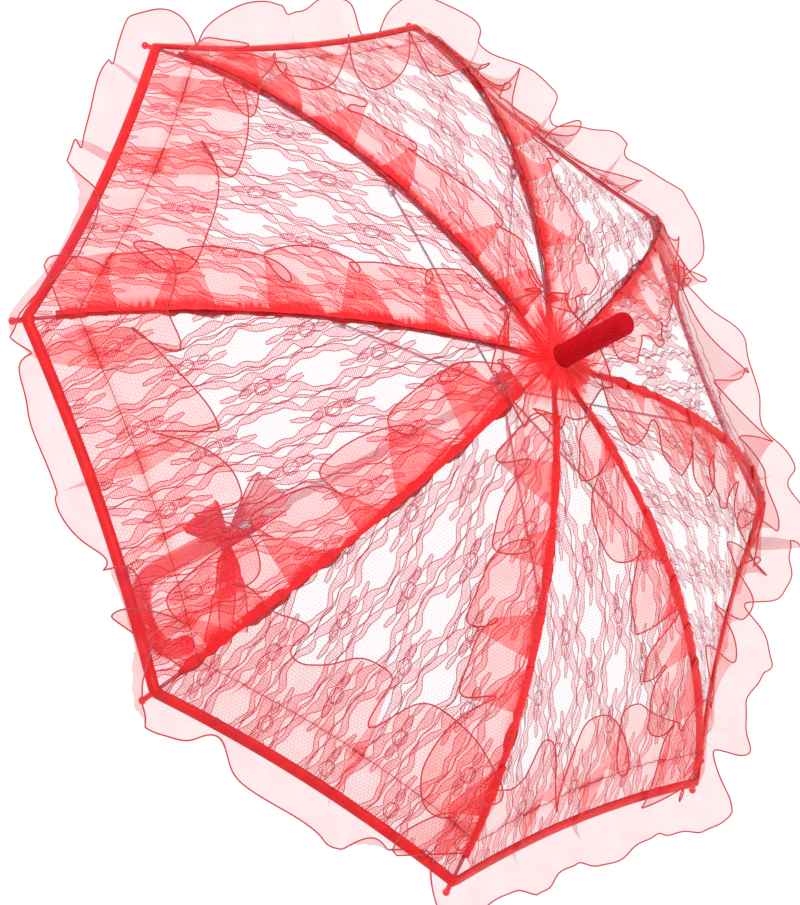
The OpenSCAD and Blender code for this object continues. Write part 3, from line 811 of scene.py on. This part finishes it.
def rosette_cloth(angle, q):
    """Point of the gathered disc round the ferrule's foot. q is 0 at the ferrule and 1 at the rim."""
    u = angle / (2 * math.pi)
    theta = ROSETTE_WAVES * angle + 0.9 * swing(u, 31)
    k = 1.35 + 0.3 * swing(2 * u, 32)
    turn = angle + k / ROSETTE_WAVES * np.sin(theta) * (0.25 + 0.75 * q)
    size = 1 + 0.13 * swing(u, 33) - 0.10 * (1 + np.cos(theta + 0.7)) / 2
    r = ROSETTE_INNER_R + q * (ROSETTE_R - ROSETTE_INNER_R) * (1 + (size - 1) * q)
    z = ROSETTE_Z + 0.0052 * (1 - q) ** 2 + (0.0006 + 0.0042 * q) * (1 - np.sin(theta)) - 0.0040 * q
    z = z + 0.0010 * np.sin(7 * theta + swing(u, 35)) * q * np.exp(-q * 3) + 0.0016 * q * swing(3 * u, 34)
    return np.stack([r * np.cos(turn), r * np.sin(turn), z], -1)


def rosette_piece(i):
    """One sector of the rosette, cut as a ring's sector, with its rim thread, flat size and area."""
    cols, rows = 84, 17
    angle = ANGLE[i] + np.linspace(-HALF, HALF, cols)
    q = np.linspace(0, 1, rows)
    points = rosette_cloth(angle[None, :] * np.ones((rows, 1)), q[:, None] * np.ones((1, cols)))
    run = row_lengths(points)[-1]
    uvs = np.stack([np.tile(run, (rows, 1)), np.tile(q[:, None] * ROSETTE_WIDTH, (1, cols))], -1)
    cloth = mesh_piece(f"rosette_{i}", points.reshape(-1, 3), grid_faces(rows, cols, flip=True),
                       uvs.reshape(-1, 2), [MATS["fan"]])
    p, f = tube(points[-1], 0.0007, 5)
    along = np.repeat(run, 5)
    edges = Gather()
    edges.add(p, f, np.stack([along, 0 * along], 1), 0)
    reach = float(np.linalg.norm(np.diff(points, axis=0), axis=-1).sum(0).mean())
    cut = reach * (row_lengths(points)[0, -1] + run[-1]) / 2
    return cloth, edges.piece(f"rosette_edge_{i}", [MATS["edge"]]), (reach, run[-1]), cut


def collar_piece():
    """The rosette's gathers drawn tight under the ferrule, and the thread that ties them."""
    cols, rows = 384, 9
    a = np.linspace(0, 2 * math.pi, cols)[None, :]
    q = np.linspace(0, 1, rows)[:, None]
    pleat = np.sin(40 * a + 1.2 * swing(a / (2 * math.pi), 51))
    reach = 0.0170 * (1 + 0.16 * swing(a / (2 * math.pi), 52))
    r = FERRULE_R + 0.0006 + reach * q**1.2 + 0.0005 * pleat * q
    z = 0.5170 - 0.0054 * np.sqrt(q) + 0.0008 * pleat * (0.3 + q * (1.5 - q))
    points = np.stack([r * np.cos(a), r * np.sin(a), z], -1)
    uvs = np.stack([a * 0.014 + 0 * q, 0.012 + q * 0.016 + 0 * a], -1)
    return mesh_piece("rosette_collar", points.reshape(-1, 3), grid_faces(rows, cols, flip=True),
                      uvs.reshape(-1, 2), [MATS["fan"]])


# ---------------------------------------------------------------- ferrule
def ferrule_piece():
    """The wrapped sleeve: two crossed layers of net wound on at a slant, with a rounded end."""
    cols, rows = 128, 170
    length = FERRULE_TOP - FERRULE_Z
    round_r = 0.004
    straight = length - round_r
    total = straight + round_r * math.pi / 2 + FERRULE_R - round_r
    d = np.linspace(0, total, rows)[:, None]
    a = np.linspace(0, 2 * math.pi, cols)[None, :]
    bend = np.clip((d - straight) / round_r, 0, math.pi / 2)
    flat = np.maximum(d - straight - round_r * math.pi / 2, 0)
    r = FERRULE_R - round_r + round_r * np.cos(bend) - flat
    z = FERRULE_Z + np.minimum(d, straight) + round_r * np.sin(bend)
    strand = np.maximum(np.abs(np.sin(10 * a + d / 0.0021)), np.abs(np.sin(10 * a - d / 0.0021)))
    lumps = 0.5 * np.sin(3 * a + d / 0.011) + 0.3 * np.sin(5 * a - d / 0.007 + 1)
    lumps = lumps + 0.3 * np.sin(2 * a + d / 0.019)
    swell = 0.00042 * (strand - 0.9) + 0.00022 * lumps
    fade = np.clip(r / 0.004, 0, 1)
    r = np.maximum(r + swell * np.cos(bend) * fade, 0)
    z = z + swell * np.sin(bend) * fade
    points = np.stack([r * np.cos(a), r * np.sin(a), z + 0 * a], -1)
    uvs = np.stack([a * FERRULE_R + 0 * d, d + 0 * a], -1)
    return mesh_piece("ferrule_wrap", points.reshape(-1, 3), grid_faces(rows, cols, flip=False),
                      uvs.reshape(-1, 2), [MATS["wrap"]])


# ---------------------------------------------------------------- bow
KNOT = Vector((0.0098, -0.0050, 0.068))   # middle of the knot
RIBBON_W = 0.036                 # width of the ribbon


def ribbon(name, line, across, widths, ripple, seed, looped):
    """A strip of organza along a line, gathered where it is narrow, with thread on both of its edges."""
    line, across = np.asarray(line, float), np.asarray(across, float)
    cols = 15
    q = np.linspace(-1, 1, cols)
    tangent = np.gradient(line, axis=0)
    tangent /= np.linalg.norm(tangent, axis=1, keepdims=True)
    across = across - (across * tangent).sum(1, keepdims=True) * tangent
    across /= np.linalg.norm(across, axis=1, keepdims=True)
    normal = np.cross(tangent, across)
    u = np.linspace(0, 1, len(line))
    squeeze = 1 - np.asarray(widths) / RIBBON_W
    phase = q[None, :] * 7.5 + seed + 1.2 * swing(u, seed)[:, None]
    wave = (ripple * (0.25 + squeeze))[:, None] * np.sin(phase)
    points = (line[:, None] + across[:, None] * (q[None, :] * np.asarray(widths)[:, None] / 2)[..., None]
              + normal[:, None] * wave[..., None])
    step = np.linalg.norm(np.diff(line, axis=0), axis=1)
    run = np.concatenate([[0], np.cumsum(step)])
    knot = np.minimum(run, run[-1] - run) if looped else run
    uvs = np.stack([np.tile(q[None, :] * RIBBON_W / 2, (len(line), 1)),
                    np.tile(knot[:, None], (1, cols))], -1)
    cloth = mesh_piece(name, points.reshape(-1, 3), grid_faces(len(line), cols), uvs.reshape(-1, 2),
                       [MATS["ribbon"]])
    edges = Gather()
    for column in (0, -1):
        p, f = tube(points[:, column], 0.0007, 5)
        along = np.repeat(run, 5)
        edges.add(p, f, np.stack([along, 0 * along], 1), 0)
    edge = edges.piece(name + "_edge", [MATS["edge"]])
    return cloth, edge, run[-1]


def loop_line(out, side, reach, depth):
    """A teardrop that leaves the knot towards out, rounds its end and comes back."""
    t = np.linspace(0, math.pi, 60)
    far = np.sin(t) ** 0.8
    wide = depth * np.sin(2 * t) * 0.9
    out, side = np.array(out.normalized()), np.array(side.normalized())
    return np.array(KNOT) + (0.003 + reach * far)[:, None] * out + wide[:, None] * side


def bow_pieces():
    """The loops and tails, each as its cloth, its edge threads and its length."""
    made = []
    loops = [("bow_loop_1", Vector((-0.86, -0.48, 0.02)), Vector((0.25, -0.62, 0.74)), 0.034, 0.010, 3),
             ("bow_loop_2", Vector((-0.50, 0.58, 0.64)), Vector((0.30, -0.60, 0.72)), 0.064, 0.020, 7)]
    for name, out, side, reach, depth, seed in loops:
        line = loop_line(out, side, reach, depth)
        across = np.tile(np.array(out.cross(side).normalized()), (len(line), 1))
        gather = np.sin(np.linspace(0, math.pi, len(line))) ** 0.75
        widths = 0.009 + (RIBBON_W + 0.004 - 0.009) * gather
        cloth, edge, length = ribbon(name, line, across, np.minimum(widths, RIBBON_W), 0.0022, seed, True)
        made.append((cloth, edge, length))
    tails = [("bow_tail_1", Vector((0.85, -0.25, 0.10)), Vector((0.45, 0.0, -0.9)), 0.068, 0.016, 5),
             ("bow_tail_2", Vector((0.72, 0.15, -0.62)), Vector((0.55, -0.25, -0.8)), 0.080, 0.020, 9)]
    for name, out, fall, length, bend, seed in tails:
        t = np.linspace(0, 1, 44)[:, None]
        o, d = np.array(out.normalized()), np.array(fall.normalized())
        line = np.array(KNOT) + o * (0.003 + length * t) + d * (bend * t**2)
        face = np.array([0.12, -0.67, 0.73])
        across = np.cross(o, face)[None, :] + 0.5 * np.sin(3.0 * t) * face[None, :]
        widths = 0.007 + (0.024 - 0.007) * np.minimum(1, 1.6 * t[:, 0]) ** 0.8
        cloth, edge, run = ribbon(name, line, across, widths, 0.0044, seed, False)
        made.append((cloth, edge, run))
    return made


def knot_piece():
    """The ribbon's turn round the shaft and the knot drawn tight on it."""
    gather = Gather()
    rows, cols = 9, 72
    a = np.linspace(0, 2 * math.pi, cols)[None, :]
    q = np.linspace(-1, 1, rows)[:, None]
    r = 0.0044 + 0.0010 * (1 - q**2) + 0.0003 * np.sin(5 * q + 2 * a)
    z = KNOT.z + q * 0.006 + 0.0015 * np.sin(a)
    band = np.stack([r * np.cos(a), r * np.sin(a), z + 0 * a], -1)
    gather.add(band, grid_faces(rows, cols, flip=True), np.stack([a * 0.005 + 0 * q, q * 0.006 + 0 * a], -1))
    rows, cols = 21, 36
    b = np.linspace(0, math.pi, rows)[:, None]
    a = np.linspace(0, 2 * math.pi, cols)[None, :]
    r = 0.0062 * (1 + 0.10 * np.sin(6 * a + 2 * np.cos(b)) * np.sin(b) + 0.05 * np.sin(11 * a))
    x, y, z = r * np.sin(b) * np.cos(a) * 0.85, r * np.sin(b) * np.sin(a) * 0.9, r * np.cos(b) + 0 * a
    ball = np.stack([x + KNOT.x, y + KNOT.y, z + KNOT.z], -1)
    gather.add(ball, grid_faces(rows, cols, flip=True), np.stack([a * 0.006 + 0 * b, b * 0.006 + 0 * a], -1))
    return gather.piece("bow_knot", [MATS["gather"]])


# ---------------------------------------------------------------- everything on its body
CAD_LOOKS = {
    "shaft": "shaft", "crook_handle": "gloss_red", "top_notch": "hub", "notch_wire": "wire",
    "stop_pin": "hub", "runner": "hub", "runner_wire": "wire", "top_spring": "spring",
    "bottom_spring": "spring",
}
for name, node in frame["nodes"].items():
    look = CAD_LOOKS.get(name)
    for start, other in (("rib_tip", "gloss_red"), ("rib_", "wire"), ("stretcher", "shaft")):
        if look is None and name.startswith(start):
            look = other
    if look:
        node.data.materials.clear()
        node.data.materials.append(MATS[look])

for i in RIBS:
    for side in (1, -1):
        net_cloth = net_piece(i, side)
        flowers = flowers_piece(i, side)
        binding = binding_piece(i, side)
        ruffle, ruffle_edge, run, cut = hem_ruffle_piece(i, side)
        for obj in (net_cloth, flowers, binding, ruffle, ruffle_edge):
            with_rib(obj, i, side)
        if side > 0:
            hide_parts(f"lace_{i}")
            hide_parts(f"hem_ruffle_{i}")
    ruffle, ruffle_edge, run, cut = rib_ruffle_piece(i)
    for obj in (ruffle, ruffle_edge):
        with_rib(obj, i, -1)
    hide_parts(f"rib_ruffle_{i}")
    band = with_rib(rib_band_piece(i), i)
    disc, rim, (reach, run), cut = rosette_piece(i)
    for obj in (disc, rim):
        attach(obj, f"rib_{i}")
        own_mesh(obj)
    if i == 1:
        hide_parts("crown_rosette")

collar = collar_piece()
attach(collar, "shaft_and_handle")
ferrule = ferrule_piece()
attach(ferrule, "shaft_and_handle")
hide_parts("ferrule_sleeve")
knot = knot_piece()
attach(knot, "shaft_and_handle")
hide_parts("ribbon_bow")
for cloth, edge, length in bow_pieces():
    for obj in (cloth, edge):
        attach(obj, "shaft_and_handle")


# ---------------------------------------------------------------- floor, light and camera
def flat_white(name, strength):
    return Nodes(name).set(Base_Color=(0.2, 0.2, 0.2, 1), Roughness=0.9, Emission_Color=(1, 1, 1, 1),
                           Emission_Strength=strength)


bpy.ops.mesh.primitive_plane_add(size=12, location=(0, 0, cad_box[0].z - 0.004))
floor = bpy.context.object
floor.name = "floor"
floor.data.materials.append(flat_white("floor_white", 0.86))

world = bpy.data.worlds.new("studio")
bpy.context.scene.world = world
world.use_nodes = True
world.node_tree.nodes["Background"].inputs[0].default_value = (1, 1, 1, 1)
world.node_tree.nodes["Background"].inputs[1].default_value = 0.6


def area_light(name, place, aim, size, power):
    data = bpy.data.lights.new(name, "AREA")
    data.shape = "SQUARE"
    data.size = size
    data.energy = power
    lamp = bpy.data.objects.new(name, data)
    lamp.location = place
    lamp.rotation_mode = "QUATERNION"
    lamp.rotation_quaternion = (Vector(aim) - Vector(place)).to_track_quat("-Z", "Y")
    bpy.context.scene.collection.objects.link(lamp)


area_light("key", (-1.1, -1.2, 2.0), (0, 0, 0.35), 1.2, 34)
area_light("fill", (1.5, 0.7, 1.5), (0, 0, 0.35), 1.6, 17)

SEEN_FROM = math.radians(10.5)   # the photograph's direction round the shaft
SEEN_ABOVE = math.radians(47.0)  # and above the horizon
ROLL = math.radians(62.4)        # the camera's turn about its own axis
DISTANCE = 5.207 * OPEN_R        # from the camera to the point it looks at
aim = Vector((0.031 * OPEN_R, -0.0545 * OPEN_R, TIPS_Z - 0.054 * OPEN_R))
back = Vector((math.sin(SEEN_FROM) * math.cos(SEEN_ABOVE), -math.cos(SEEN_FROM) * math.cos(SEEN_ABOVE),
               math.sin(SEEN_ABOVE)))
level = Vector((math.cos(SEEN_FROM), math.sin(SEEN_FROM), 0))
right = level * math.cos(ROLL) + back.cross(level) * math.sin(ROLL)
up = back.cross(right)
lens = bpy.data.cameras.new("camera")
lens.lens = 96.0
lens.clip_end = 20
camera = bpy.data.objects.new("camera", lens)
axes = Matrix((right, up, back)).transposed().to_4x4()
camera.matrix_world = Matrix.Translation(aim + back * DISTANCE) @ axes
bpy.context.scene.collection.objects.link(camera)
bpy.context.scene.camera = camera
bpy.context.scene.view_settings.view_transform = "Standard"
bpy.context.scene.cycles.transparent_max_bounces = 40
